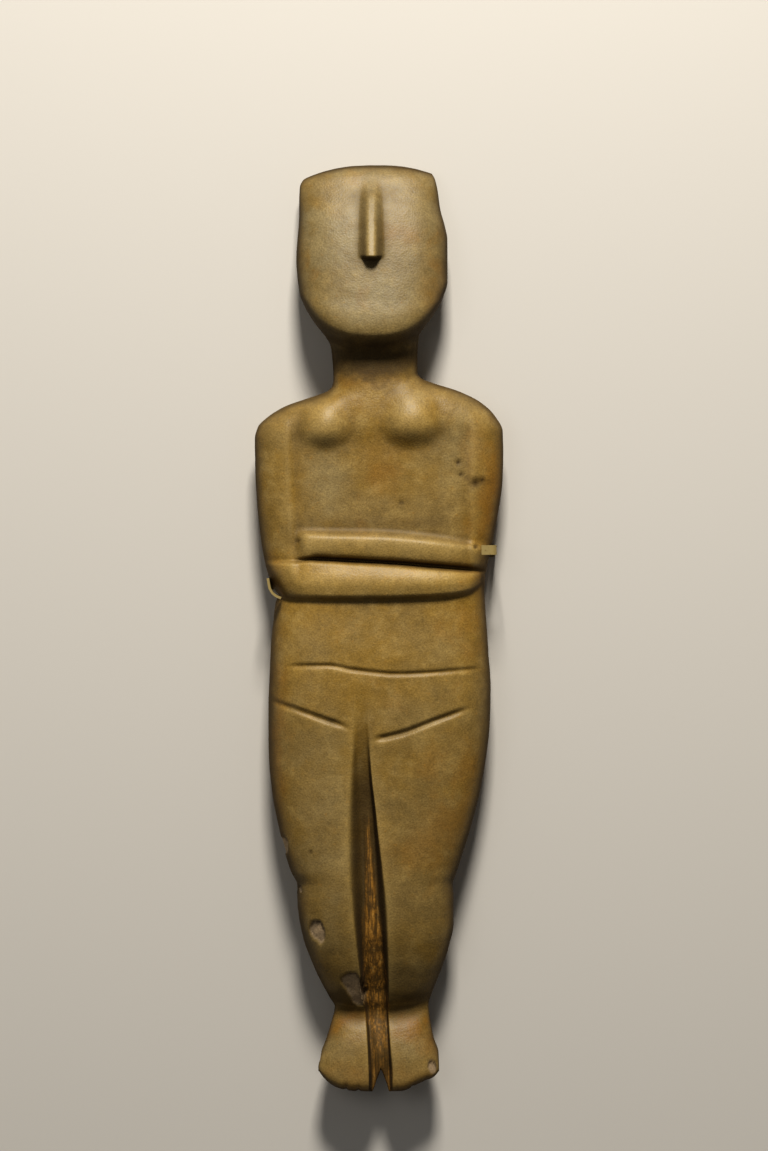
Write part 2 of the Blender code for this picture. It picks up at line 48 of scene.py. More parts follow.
figure = {
    "frontColumns": 144,       # facets across the front
    "backColumns": 48,         # facets across the back, a third of the front's
    "rowLength": 0.00092,      # aimed length of a facet along the figure
    "columnCrowding": 0.38,    # how much the facets crowd at the edges and along the middle
    "archPower": 2.3,          # an arched section is flat along its middle and falls away at its edges
    "bodyHalfWidth": 0.0540,   # width at which the lines across the body are read
    # outline and profiles, as (place along Y, value)
    "leftEdge": (
        (0.2195, -0.0338), (0.2175, -0.0370), (0.2140, -0.0385), (0.2000, -0.0388), (0.1780, -0.0400),
        (0.1620, -0.0384), (0.1550, -0.0358), (0.1480, -0.0315), (0.1410, -0.0260), (0.1370, -0.0237),
        (0.1280, -0.0225), (0.1200, -0.0221), (0.1170, -0.0226), (0.1145, -0.0248),
        (0.1110, -0.0346), (0.1070, -0.0457), (0.1020, -0.0539), (0.0970, -0.0588), (0.0910, -0.0603),
        (0.0760, -0.0602), (0.0600, -0.0593), (0.0450, -0.0578), (0.0320, -0.0556), (0.0240, -0.0532),
        (0.0190, -0.0508), (0.0150, -0.0487), (0.0125, -0.0499), (0.0040, -0.0511),
        (-0.0150, -0.0529), (-0.0400, -0.0538), (-0.0600, -0.0536), (-0.0800, -0.0519), (-0.1000, -0.0480),
        (-0.1180, -0.0429), (-0.1250, -0.0396), (-0.1330, -0.0395), (-0.1410, -0.0388),
        (-0.1500, -0.0369), (-0.1600, -0.0335), (-0.1720, -0.0282), (-0.1800, -0.0239), (-0.1843, -0.0216),
        (-0.1900, -0.0227), (-0.1990, -0.0255), (-0.2060, -0.0283), (-0.2130, -0.0293),
    ),
    "rightEdge": (
        (0.2205, 0.0257), (0.2180, 0.0270), (0.2130, 0.0282), (0.2030, 0.0296), (0.1950, 0.0317),
        (0.1880, 0.0330), (0.1680, 0.0331), (0.1600, 0.0310), (0.1520, 0.0269), (0.1450, 0.0217),
        (0.1415, 0.0194), (0.1320, 0.0187), (0.1230, 0.0187), (0.1205, 0.0208),
        (0.1180, 0.0272), (0.1140, 0.0393), (0.1090, 0.0492), (0.1030, 0.0558), (0.0950, 0.0601),
        (0.0840, 0.0604), (0.0700, 0.0599), (0.0530, 0.0573), (0.0400, 0.0546), (0.0310, 0.0526),
        (0.0240, 0.0513), (0.0180, 0.0512), (0.0050, 0.0518),
        (-0.0100, 0.0529), (-0.0300, 0.0540), (-0.0450, 0.0536), (-0.0600, 0.0522), (-0.0800, 0.0487),
        (-0.0950, 0.0450), (-0.1080, 0.0410), (-0.1190, 0.0374), (-0.1245, 0.0357), (-0.1320, 0.0361),
        (-0.1430, 0.0361), (-0.1560, 0.0335), (-0.1680, 0.0294), (-0.1780, 0.0254), (-0.1830, 0.0240),
        (-0.1900, 0.0247), (-0.1980, 0.0264), (-0.2060, 0.0290), (-0.2130, 0.0292),
    ),
    "axis": (                  # line of the nose, the spine and the floor of the cleft between the legs
        (0.2250, -0.0045), (0.1780, -0.0037), (0.1350, -0.0030), (0.1100, -0.0010), (0.0, -0.0030),
        (-0.0300, -0.0084), (-0.0600, -0.0078), (-0.0860, -0.0060), (-0.1150, -0.0046), (-0.1410, -0.0038),
        (-0.1740, -0.0018), (-0.1900, -0.0007), (-0.2140, 0.0008),
    ),
    "front": (                 # height of the front's middle, without its carving
        (0.2250, 0.0140), (0.2140, 0.0195), (0.2000, 0.0260), (0.1770, 0.0335), (0.1580, 0.0385),
        (0.1450, 0.0412), (0.1410, 0.0405), (0.1375, 0.0362), (0.1335, 0.0310), (0.1290, 0.0294),
        (0.1200, 0.0298), (0.1060, 0.0322), (0.0950, 0.0340), (0.0100, 0.0355),
        (-0.0150, 0.0370), (-0.0450, 0.0380), (-0.0900, 0.0375), (-0.1250, 0.0380),
        (-0.1450, 0.0370), (-0.1600, 0.0335), (-0.1720, 0.0285), (-0.1800, 0.0240), (-0.1870, 0.0193),
        (-0.1890, 0.0195), (-0.1960, 0.0230), (-0.2080, 0.0275), (-0.2250, 0.0285),
    ),
    "back": (                  # height of the back's middle; below zero it is cut off flat
        (0.2250, 0.0030), (0.2150, 0.0002), (0.2000, -0.0005), (0.1850, 0.0005), (0.1650, 0.0045),
        (0.1450, 0.0100), (0.1280, 0.0110), (0.1150, 0.0080), (0.1000, 0.0040),
        (0.0800, 0.0024), (0.0500, 0.0026), (0.0200, 0.0028), (0.0, 0.0018),
        (-0.0250, -0.0002), (-0.0450, -0.0007), (-0.0620, 0.0), (-0.0850, 0.0025), (-0.1200, 0.0060),
        (-0.1400, 0.0018), (-0.1520, -0.0005), (-0.1620, 0.0010), (-0.1800, 0.0065),
        (-0.1900, 0.0035), (-0.1960, 0.0045), (-0.2080, 0.0110), (-0.2220, 0.0200),
    ),
    "rim": (                   # height at which the front and the back meet, along both edges
        (0.2250, 0.0080), (0.2050, 0.0120), (0.1770, 0.0170), (0.1500, 0.0220), (0.1300, 0.0200),
        (0.1120, 0.0180), (0.0800, 0.0160), (-0.0400, 0.0160), (-0.1300, 0.0190), (-0.1600, 0.0180),
        (-0.1840, 0.0140), (-0.2000, 0.0160), (-0.2150, 0.0210), (-0.2250, 0.0230),
    ),
    "squareness": (            # of a section: 2 is round, 4 is a slab with rounded edges
        (0.2250, 4.5), (0.1700, 3.2), (0.1500, 2.6), (0.1300, 2.1), (0.1120, 3.2), (0.0900, 4.2),
        (-0.0500, 3.8), (-0.1200, 3.2), (-0.1800, 2.8), (-0.2150, 3.2),
    ),
    "crownRound": 0.0075,      # depth over which the crown rounds off
    "toeRound": 0.0055,
    "endPower": 2.4,           # squareness of both rounded ends
    # carving
    "noseX": -0.0037,
    "noseTopY": 0.2125,
    "noseTipY": 0.1787,
    "noseUnderside": 0.0021,
    "noseHalfWidth": 0.0043,
    "noseRise": (0.0020, 0.0070),
    "breasts": (               # centre across, centre along, half width, reach up, reach down, height
        (-0.0260, 0.0950, 0.0135, 0.0200, 0.0100, 0.0044),
        (0.0155, 0.0975, 0.0160, 0.0210, 0.0120, 0.0049),
    ),
    "forearmTop": ((-0.0450, 0.0475), (-0.0200, 0.0470), (0.0, 0.0466), (0.0250, 0.0445), (0.0450, 0.0415),
                   (0.0560, 0.0405)),
    "forearmGroove": ((-0.0400, 0.0325), (-0.0320, 0.0333), (-0.0140, 0.0325), (0.0050, 0.0315),
                      (0.0250, 0.0299), (0.0550, 0.0274)),
    "forearmBottom": ((-0.0520, 0.0165), (-0.0460, 0.0146), (-0.0240, 0.0140), (0.0, 0.0140),
                      (0.0250, 0.0147), (0.0420, 0.0166), (0.0540, 0.0240)),
    "bellyLine": ((-0.0450, -0.0186), (-0.0240, -0.0183), (-0.0128, -0.0203), (0.0090, -0.0223),
                  (0.0485, -0.0199)),
    "groinLine": ((-0.0530, -0.0352), (-0.0388, -0.0399), (-0.0262, -0.0443), (-0.0157, -0.0479),
                  (-0.0082, -0.0520), (-0.0020, -0.0533), (0.0092, -0.0513), (0.0284, -0.0443),
                  (0.0460, -0.0385), (0.0540, -0.0370)),
    "armLeft": ((0.1100, -0.0435), (0.0970, -0.0430), (0.0320, -0.0400)),
    "armRight": ((0.1100, 0.0435), (0.0420, 0.0440)),
    "handEndX": -0.0405,       # where the upper forearm's hand ends
    "forearmHeight": 0.0046,
    "breastPower": 1.8,
    "bandCrest": (0.56, 0.42, 0.50),   # where a forearm is highest, its share of drop below and above
    "chestDepth": 0.0019,
    "grooveDepth": 0.0018,
    "grooveWidth": 0.0015,
    "bellyLineDepth": 0.0010,
    "bellyLineWidth": 0.0011,
    "groinDepth": (0.0013, 0.0015),
    "groinWidth": 0.0014,
    "cleftDepth": (
        (-0.0300, 0.0), (-0.0400, 0.0005), (-0.0500, 0.0014), (-0.0640, 0.0034), (-0.0860, 0.0068),
        (-0.1080, 0.0088), (-0.1500, 0.0098), (-0.1750, 0.0085), (-0.1870, 0.0042), (-0.2000, 0.0050),
        (-0.2140, 0.0065),
    ),
    "cleftLeft": ((-0.0300, 0.0030), (-0.0600, 0.0056), (-0.0860, 0.0090), (-0.1150, 0.0105),
                  (-0.1410, 0.0088), (-0.1740, 0.0068), (-0.1900, 0.0058), (-0.2140, 0.0060)),
    "cleftRight": ((-0.0300, 0.0030), (-0.0860, 0.0042), (-0.1150, 0.0062), (-0.1410, 0.0080),
                   (-0.1740, 0.0066), (-0.1900, 0.0054), (-0.2140, 0.0060)),
    "cleftFloor": ((-0.0300, 0.0012), (-0.0860, 0.0024), (-0.1410, 0.0034), (-0.1740, 0.0044),
                   (-0.2140, 0.0040)),
    "floorRib": ((-0.0800, 0.0), (-0.1100, 0.0012), (-0.1800, 0.0016), (-0.2140, 0.0008)),
    "columnAtFloor": 0.055,    # u of the facets' edges that follow the cleft's floor and its banks
    "columnAtBank": 0.178,
    "spineDepth": 0.0012,
    "spineWidth": 0.0035,
    "backCleftDepth": 0.0045,
    "backCleftWidth": 0.0045,
    "toeRingY": -0.2150,
    "toeY": -0.2248,
    "toePower": 4.5,
    "feetHalfWidth": 0.029,
    "toeNotchX": 0.0010,
    "toeNotchHalfWidth": 0.0037,
    "toeNotchDepth": 0.0112,
    # worn surface: (size, height) of its swells, and marks as (x, y, half width, half length, turn, depth)
    "swells": ((0.034, 0.00030), (0.013, 0.00012), (0.0048, 0.00006), (0.0019, 0.00003)),
    "chips": (
        (-0.0300, -0.1468, 0.0036, 0.0056, 0.35, 0.0012),
        (-0.0118, -0.1745, 0.0046, 0.0086, 0.45, 0.0015),
        (-0.0460, -0.1052, 0.0018, 0.0050, 0.25, 0.0008),
        (-0.0382, -0.1262, 0.0008, 0.0020, 0.15, 0.0005),
        (0.0262, -0.2130, 0.0022, 0.0034, 0.30, 0.0006), (-0.0290, -0.2080, 0.0010, 0.0030, -0.20, 0.0004),
    ),
    "lipShadowWidth": 0.0011,        # width of the painted shadow along the upper lip of a chip
    "wornAbove": 0.012,        # chips and pits lie above this height, on the front
    "toeLines": ((-0.0160, 0.0060), (-0.0100, 0.0050), (0.0165, 0.0050)),   # x, length up from the toes' ends
    "toeLineDepth": 0.0007,
    "toeLineWidth": 0.0008,
    "smoothPasses": 50,        # how far the front is smoothed before its ridges and hollows are told from it
    "hollowFull": 0.0016,      # depth and height below and above the smoothed front that count as full
    "ridgeFull": 0.0014,
    "sideShadeFacing": (0.85, 0.25),   # how much a normal points up where the painted shade on the sides starts and is full
    "shadesAndGrimes": (                # painted shade under the chin, above the forearms, at the ankles and the cleft's top; a brown patch by the pits
        (-0.0030, 0.1290, 0.0300, 0.0120, 1.0), (0.0, 0.0500, 0.0360, 0.0040, 0.35),
        (-0.0135, -0.1795, 0.0170, 0.0045, 0.7), (0.0140, -0.1785, 0.0170, 0.0045, 0.7),
        (0.0480, 0.0705, 0.0060, 0.0030, 0.5), (-0.0050, -0.0480, 0.0040, 0.0120, 0.3),
    ),
    "tone": (                  # painted light: lightness brightest at the forearms, falling off towards the head and the feet, as (place along Y, factor)
        (0.2200, 0.72), (0.1950, 0.68), (0.1500, 0.72), (0.1300, 0.80), (0.1000, 0.94), (0.0500, 0.96),
        (0.0300, 1.06), (-0.0200, 1.00), (-0.0900, 0.88), (-0.1400, 0.80), (-0.1800, 0.80), (-0.2000, 0.80),
        (-0.2200, 0.76),
    ),
    # stains as (x, y, half width, half length, strength)
    "blooms": (                # greyish weathered patches
        (-0.0240, 0.1870, 0.0180, 0.0230, 1.0), (-0.0020, 0.1520, 0.0300, 0.0200, 1.0),
        (-0.0037, 0.1950, 0.0055, 0.0190, 1.0), (-0.0030, 0.1800, 0.0480, 0.0520, 0.65),
        (0.0200, 0.1990, 0.0140, 0.0100, 0.7), (0.0150, 0.1800, 0.0060, 0.0050, 0.6),
        (-0.0250, 0.0700, 0.0120, 0.0220, 0.5), (0.0380, 0.0850, 0.0120, 0.0200, 0.5),
        (-0.0250, -0.1000, 0.0160, 0.0500, 0.4), (-0.0180, -0.2040, 0.0120, 0.0070, 0.35),
        (0.0170, -0.2040, 0.0120, 0.0070, 0.3),
    ),
    "rusts": (                 # orange-brown stains
        (0.0100, 0.1890, 0.0110, 0.0080, 0.5), (0.0270, 0.1650, 0.0080, 0.0180, 0.4),
        (0.0540, 0.0600, 0.0070, 0.0330, 0.9), (0.0480, 0.0850, 0.0090, 0.0160, 0.5),
        (0.0450, 0.0300, 0.0120, 0.0200, 0.6), (-0.0080, 0.1200, 0.0200, 0.0050, 0.6),
        (0.0400, 0.0000, 0.0160, 0.0150, 0.5), (0.0350, -0.0800, 0.0160, 0.0350, 0.5),
        (0.0200, -0.1080, 0.0200, 0.0120, 0.5), (-0.0480, -0.0600, 0.0060, 0.0500, 0.5),
        (-0.0130, -0.1930, 0.0150, 0.0080, 1.0), (0.0130, -0.1920, 0.0150, 0.0080, 1.0),
        (0.0000, 0.0790, 0.0140, 0.0160, 0.2), (-0.0500, 0.0250, 0.0080, 0.0120, 0.5),
        (0.0000, -0.2180, 0.0290, 0.0080, 0.8), (0.0230, -0.2000, 0.0060, 0.0120, 0.7),
    ),
    "pits": (                  # x, y, radius, depth
        (0.0383, 0.0797, 0.0011, 0.0009), (0.0398, 0.0738, 0.0010, 0.0008),
        (0.0425, 0.0722, 0.0008, 0.0006), (0.0468, 0.0699, 0.0017, 0.0010),
        (0.0500, 0.0712, 0.0012, 0.0007), (0.0107, 0.0603, 0.0008, 0.0006),
        (-0.0393, 0.0418, 0.0009, 0.0007), (0.0466, 0.0390, 0.0010, 0.0007),
        (-0.0330, -0.1080, 0.0008, 0.0005),
    ),
}

# Sections from crown to toes: left edge, middle and right edge of the front, or the line of the carving that
# the section follows; shift of the whole section; lag of the back's middle; number of steps to the next one.
sections = (
    ((0.2187, 0.2250, 0.2205), 0, 0, 4),                # crown
    ((0.2110, 0.2160, 0.2125), 0, -0.0020, 6),          # brow
    ((0.1800, 0.1788, 0.1800), 0, 0.0042, 1),           # tip of the nose
    ((0.1780, 0.1766, 0.1780), 0, 0.0044, 3),           # under the nose
    ((0.1660, 0.1640, 0.1660), 0, 0.0060, 4),           # cheeks
    ((0.1540, 0.1420, 0.1540), 0, 0.0180, 3),           # rim of the chin
    ((0.1400, 0.1335, 0.1400), 0, 0.0125, 2),           # under the chin
    ((0.1210, 0.1220, 0.1250), 0, 0.0020, 2),           # neck
    ((0.1145, 0.1138, 0.1190), 0, 0.0027, 5),           # root of the neck
    ((0.0985, 0.1000, 0.1030), 0, 0.0010, 4),           # shoulders
    ((0.0850, 0.0850, 0.0870), 0, 0.0010, 3),           # below the breasts
    (figure["forearmTop"], 0.0014, 0, 1),
    (figure["forearmTop"], -0.0018, 0, 3),
    (figure["forearmGroove"], 0.0018, 0, 1),
    (figure["forearmGroove"], -0.0002, 0, 1),
    (figure["forearmGroove"], -0.0024, 0, 3),
    (figure["forearmBottom"], 0.0016, 0, 1),
    (figure["forearmBottom"], -0.0014, 0, 4),
    (figure["bellyLine"], 0.0022, 0, 1),
    (figure["bellyLine"], 0, 0, 1),
    (figure["bellyLine"], -0.0022, 0, 2),
    (figure["groinLine"], 0.0026, 0.0120, 1),
    (figure["groinLine"], 0, 0.0120, 1),
    (figure["groinLine"], -0.0026, 0.0120, 6),
    ((-0.1140, -0.1140, -0.1140), 0, 0, 7),             # above the knees
    ((-0.1360, -0.1360, -0.1360), 0, 0, 2),             # below the knees
    ((-0.1500, -0.1500, -0.1500), 0, 0, 6),             # shins
    ((-0.1845, -0.1875, -0.1825), 0, 0.0080, 6),        # ankles
    ((-0.2150, -0.2150, -0.2150), 0, 0, 0),             # toes
)


def curve(points, at):
    # smooth line through (place, value) points that never overshoots them: a cubic between each two points,
    # whose slope at a point is the harmonic mean of the slopes beside it, or level where they differ in sign
    places, values = np.array(sorted(points)).T
    span = np.diff(places)
    slope = np.diff(values) / span
    tangent = np.zeros_like(values)
    tangent[0], tangent[-1] = slope[0], slope[-1]
    sameWay = slope[:-1] * slope[1:] > 0
    before, after = slope[:-1][sameWay], slope[1:][sameWay]
    tangent[1:-1][sameWay] = 2 * before * after / (before + after)
    at = np.clip(at, places[0], places[-1])
    k = np.clip(np.searchsorted(places, at, side="right") - 1, 0, len(span) - 1)
    t = (at - places[k]) / span[k]
    return (values[k] * (1 + 2 * t) * (1 - t) ** 2 + values[k + 1] * t * t * (3 - 2 * t)
            + tangent[k] * span[k] * t * (1 - t) ** 2 - tangent[k + 1] * span[k] * t * t * (1 - t))


def rise(low, high, x):
    # 0 at low, 1 at high, and three t squared less two t cubed between
    t = np.clip((x - low) / (high - low), 0, 1)
    return t * t * (3 - 2 * t)


def swell(x, width):
    # bell: e to the power of minus (x over width) squared
    return np.exp(-(x / width) ** 2)


def softNoise(points, size, seed):
    # random numbers from -1 to 1 on a lattice of cubes of this size, blended smoothly from corner to corner
    lattice = np.random.default_rng(seed).uniform(-1, 1, (32, 32, 32))
    place = points / size + 16
    cell = np.floor(place).astype(int)
    part = place - cell
    part = part * part * (3 - 2 * part)
    total = np.zeros(points.shape[:-1])
    for corner in np.ndindex(2, 2, 2):
        share = np.prod(np.where(corner, part, 1 - part), axis=-1)
        at = (cell + corner) % 32
        total += share * lattice[at[..., 0], at[..., 1], at[..., 2]]
    return total


def nose(x, y):
    # wedge whose height and width grow evenly from its top to its tip, crowned across, its tip cut off round
    down = np.clip((figure["noseTopY"] - y) / (figure["noseTopY"] - figure["noseTipY"]), 0, 1)
    low, high = figure["noseRise"]
    width = figure["noseHalfWidth"] * (0.86 + 0.14 * down)
    off = np.abs(x - figure["noseX"])
    side = (1 - rise(0.32 * width, 1.55 * width, off)) * (1 - 0.14 * np.clip(off / width, 0, 1) ** 2)
    tip = figure["noseTipY"] + 0.0008 * np.clip(off / width, 0, 1.2) ** 2
    ends = rise(0.0060, -0.0060, y - figure["noseTopY"]) * rise(-figure["noseUnderside"], 0, y - tip)
    return (low + (high - low) * down) * side * ends


def breasts(x, y):
    # each mound is its height times (1 less the squared distance in half widths) to the breast power
    total = np.zeros_like(x)
    for centreX, centreY, halfWidth, reachUp, reachDown, height in figure["breasts"]:
        reach = np.where(y > centreY, reachUp, reachDown)
        away = ((x - centreX) / halfWidth) ** 2 + ((y - centreY) / reach) ** 2
        total += height * np.clip(1 - away, 0, 1) ** figure["breastPower"]
    return total


def sunkChest(x, y):
    # one depth between the inner edges of the upper arms, fading at the shoulders
    inside = (rise(-0.0022, 0.0016, x - curve(figure["armLeft"], y))
              * rise(-0.0022, 0.0016, curve(figure["armRight"], y) - x))
    return -figure["chestDepth"] * inside * rise(0.106, 0.088, y) * rise(0.020, 0.030, y)


def bandCrown(t):
    # 1 at the crest, less the squared distance below it, or a smaller part of that above it
    crest, dropBelow, dropAbove = figure["bandCrest"]
    t = np.clip(t, 0, 1)
    below = dropBelow * ((crest - t) / crest) ** 2
    above = dropAbove * ((t - crest) / (1 - crest)) ** 2
    return 1 - np.where(t < crest, below, above)


def forearms(x, y):
    # two bands between three lines across the body, each a parabola that peaks in its upper third, less a
    # bell-shaped groove between them
    top, groove, bottom = (
        curve(figure[name], x) for name in ("forearmTop", "forearmGroove", "forearmBottom"))
    hand = rise(figure["handEndX"] - 0.0010, figure["handEndX"] + 0.0060, x)
    upper = rise(-0.0016, 0.0040, top - y) * rise(-0.0004, 0.0014, y - groove) * hand
    lower = rise(-0.0006, 0.0024, groove - y) * rise(-0.0014, 0.0016, y - bottom)
    upperCrown = bandCrown((y - groove) / (top - groove))
    lowerCrown = bandCrown((y - bottom) / (groove - bottom))
    cut = figure["grooveDepth"] * swell(y - groove, figure["grooveWidth"]) * rise(-0.037, -0.028, x)
    return figure["forearmHeight"] * (upper * upperCrown + lower * lowerCrown) - cut


def incisedLines(x, y):
    # bell-shaped cuts along the belly line and the groin, fading at their ends
    belly = swell(y - curve(figure["bellyLine"], x), figure["bellyLineWidth"])
    belly = belly * rise(-0.046, -0.038, x) * rise(0.050, 0.044, x)
    groin = swell(y - curve(figure["groinLine"], x), figure["groinWidth"])
    left = groin * rise(-0.012, -0.022, x) * rise(-0.055, -0.048, x)
    right = groin * rise(-0.0035, 0.0025, x) * rise(0.047, 0.036, x)
    depthLeft, depthRight = figure["groinDepth"]
    return -(figure["bellyLineDepth"] * belly + depthLeft * left + depthRight * right)


def cleftReach(side, y):
    # half width of the cleft's floor, and the reach of the bank on the side that a point is on
    return curve(figure["cleftFloor"], y), np.where(side < 0, curve(figure["cleftLeft"], y),
                                                    curve(figure["cleftRight"], y))


def legCleft(x, y):
    # the depth, less as much of it as the bank has risen by, plus a parabola along the floor for the rib
    side = x - curve(figure["axis"], y)
    floor, bank = cleftReach(side, y)
    wall = rise(0, 1, (np.abs(side) - floor) / (bank - floor))
    rib = curve(figure["floorRib"], y) * np.clip(1 - (side / floor) ** 2, 0, 1)
    return rib - curve(figure["cleftDepth"], y) * (1 - wall)


def frontHeight(x, y, place):
    # the profile's height plus every carving
    return (curve(figure["front"], place) + nose(x, y) + breasts(x, y) + sunkChest(x, y) + forearms(x, y)
            + incisedLines(x, y) + legCleft(x, y))


def backHeight(x, y, place):
    # the profile's height plus bell-shaped grooves up into the spine and between the legs
    side = x - curve(figure["axis"], y)
    spine = swell(side, figure["spineWidth"]) * rise(0.112, 0.098, y) * rise(-0.012, 0.010, y)
    cleft = swell(side, figure["backCleftWidth"]) * rise(-0.060, -0.110, y)
    return curve(figure["back"], place) + figure["spineDepth"] * spine + figure["backCleftDepth"] * cleft


def across(columns):
    # the cosine of an angle in even steps, pulled towards the edges and the middle: u from +1 to -1
    angle = np.pi * np.arange(columns + 1) / columns
    return np.cos(angle - figure["columnCrowding"] * np.sin(4 * angle) / 4)


def spread(u, reach, y):
    # distance from the axis: u times the reach, and on the legs three straight runs over floor, wall and leg
    part = np.abs(u)
    floor, bank = cleftReach(u, y)
    atFloor, atBank = figure["columnAtFloor"], figure["columnAtBank"]
    wall = floor + (bank - floor) * (part - atFloor) / (atBank - atFloor)
    leg = bank + (reach - bank) * (part - atBank) / (1 - atBank)
    led = np.where(part < atFloor, floor * part / atFloor, np.where(part < atBank, wall, leg))
    return part * reach + rise(-0.040, -0.075, y) * (led - part * reach)


def arch(left, middle, right, u):
    # straight line from edge to edge plus the middle's rise times (1 less u to the arch power)
    straight = left + (right - left) * (u + 1) / 2
    return straight + (middle - (left + right) / 2) * (1 - np.abs(u) ** figure["archPower"])


def statedLine(shape, shift, u):
    # place along Y of a stated section at each u: an arch of three places, or a line of the carving
    if len(shape) == 3:
        return arch(*shape, u) + shift
    return curve(shape, u * figure["bodyHalfWidth"]) + shift


def allSections(u):
    # places along Y of every row: in each column a smooth line through the stated sections
    statedLines = np.array([statedLine(shape, shift, u) for shape, shift, _, _ in sections])
    statedRows = np.cumsum([0] + [steps for _, _, _, steps in sections[:-1]])
    middles = np.array([statedLine(shape, shift, np.zeros(1))[0] for shape, shift, _, _ in sections])
    counts = np.maximum(np.round(-np.diff(middles) / figure["rowLength"]).astype(int), 4)
    rows = np.concatenate([np.linspace(first, last, count, endpoint=False)
                           for first, last, count in zip(statedRows[:-1], statedRows[1:], counts)]
                          + [statedRows[-1:]])
    lag = curve(list(zip(statedRows, [backLag for _, _, backLag, _ in sections])), rows)
    places = np.stack([curve(list(zip(statedRows, column)), rows) for column in statedLines.T], axis=1)
    return places, lag[:, None]


def frontLines(columns):
    # the stated and smoothed sections at every column
    return allSections(across(columns))[0]


def backLines(columns):
    # the back shares its edges with the front and arches to a middle of its own
    places, lag = allSections(np.array([1.0, 0.0, -1.0]))
    right, middle, left = np.split(places, 3, axis=1)
    return arch(left, middle + lag, right, across(columns)[None, :])


def toeEdge(x):
    # the toes' outer edge: 1 less x to the toe power towards the tips, a chipped corner, and a notch between
    # the feet
    alongFoot = np.clip(np.abs(x) / figure["feetHalfWidth"], 0, 1)
    corner = 0.0022 * rise(0.011, 0.020, x) * rise(0.028, 0.022, x)
    gap = np.clip(1 - np.abs(x - figure["toeNotchX"]) / figure["toeNotchHalfWidth"], 0, 1) ** 0.85
    ring = figure["toeRingY"]
    return (ring + (figure["toeY"] - ring) * (1 - alongFoot ** figure["toePower"]) + corner
            + figure["toeNotchDepth"] * gap)


def sheet(y, height):
    # x is the axis plus the spread; z goes from the rim to the carved height by the root of 1 less u to the
    # squareness, and both ends round off in the same way
    columns = y.shape[1] - 1
    u = across(columns)[None, :]
    rightY, middleY, leftY = y[:, :1], y[:, columns // 2:columns // 2 + 1], y[:, -1:]
    axis = curve(figure["axis"], middleY)
    reach = np.where(u > 0, curve(figure["rightEdge"], rightY) - axis,
                     axis - curve(figure["leftEdge"], leftY))
    x = axis + np.sign(u) * spread(u, reach, y)
    edgeY = (rightY + leftY) / 2
    y = y + rise(-0.190, figure["toeRingY"], edgeY) ** 2 * (toeEdge(x) - figure["toeRingY"])
    fullness = np.sqrt(np.clip(1 - np.abs(u) ** curve(figure["squareness"], edgeY), 0, 1))
    crownEnd = np.clip((y[0, columns // 2] - middleY) / figure["crownRound"], 0, 1)
    toeEnd = np.clip((edgeY - figure["toeRingY"]) / figure["toeRound"], 0, 1)
    power = figure["endPower"]
    rounding = np.sqrt((1 - (1 - crownEnd) ** power) * (1 - (1 - toeEnd) ** power))
    rim = curve(figure["rim"], edgeY)
    z = rim + (height(x, y, middleY) - rim) * fullness * rounding
    return np.stack([x, y, np.maximum(z, 0)], axis=-1)


def figureSurface():
    # front and back grids that share their side edges, the crown's row and the toes' row
    front = sheet(frontLines(figure["frontColumns"]), frontHeight)
    back = sheet(backLines(figure["backColumns"]), backHeight)
    last, wide, narrow = len(front) - 1, figure["frontColumns"], figure["backColumns"]
    ratio = wide // narrow
    frontIndex = np.arange((last + 1) * (wide + 1)).reshape(last + 1, wide + 1)
    backIndex = np.zeros((last + 1, narrow + 1), int)
    inner = np.arange((last - 1) * (narrow - 1)).reshape(last - 1, narrow - 1)
    backIndex[1:-1, 1:-1] = frontIndex.size + inner
    backIndex[[0, last]] = frontIndex[[0, last], ::ratio]
    backIndex[:, [0, narrow]] = frontIndex[:, [0, wide]]
    points = np.concatenate([front.reshape(-1, 3), back[1:-1, 1:-1].reshape(-1, 3)])
    quads = [np.stack([frontIndex[:-1, :-1], frontIndex[:-1, 1:],
                       frontIndex[1:, 1:], frontIndex[1:, :-1]], -1),
             np.stack([backIndex[1:-2, :-1], backIndex[2:-1, :-1],
                       backIndex[2:-1, 1:], backIndex[1:-2, 1:]], -1)]
    faces = [face for grid in quads for face in grid.reshape(-1, 4).tolist()]
    for row, nextRow, turn in ((0, 1, -1), (last, last - 1, 1)):   # strips that close the crown and the toes
        edge = frontIndex[row, np.arange(narrow)[:, None] * ratio + np.arange(ratio + 1)]
        caps = np.concatenate([edge, backIndex[nextRow, 1:, None], backIndex[nextRow, :-1, None]], axis=1)
        faces += caps[:, ::turn].tolist()
    return points, faces


def markShape(points, mark, warp):
    # 1 inside a turned ellipse and 0 outside it, over a ragged lip: the distance in half widths plus noise
    x, y, halfWidth, halfLength, turn = mark[:5]
    offX, offY = points[:, 0] - x, points[:, 1] - y
    alongX = offX * np.cos(turn) + offY * np.sin(turn)
    alongY = offY * np.cos(turn) - offX * np.sin(turn)
    away = np.hypot(alongX / halfWidth, alongY / halfLength) + 0.22 * warp
    return rise(1.10, 0.86, away) * (points[:, 2] > figure["wornAbove"])


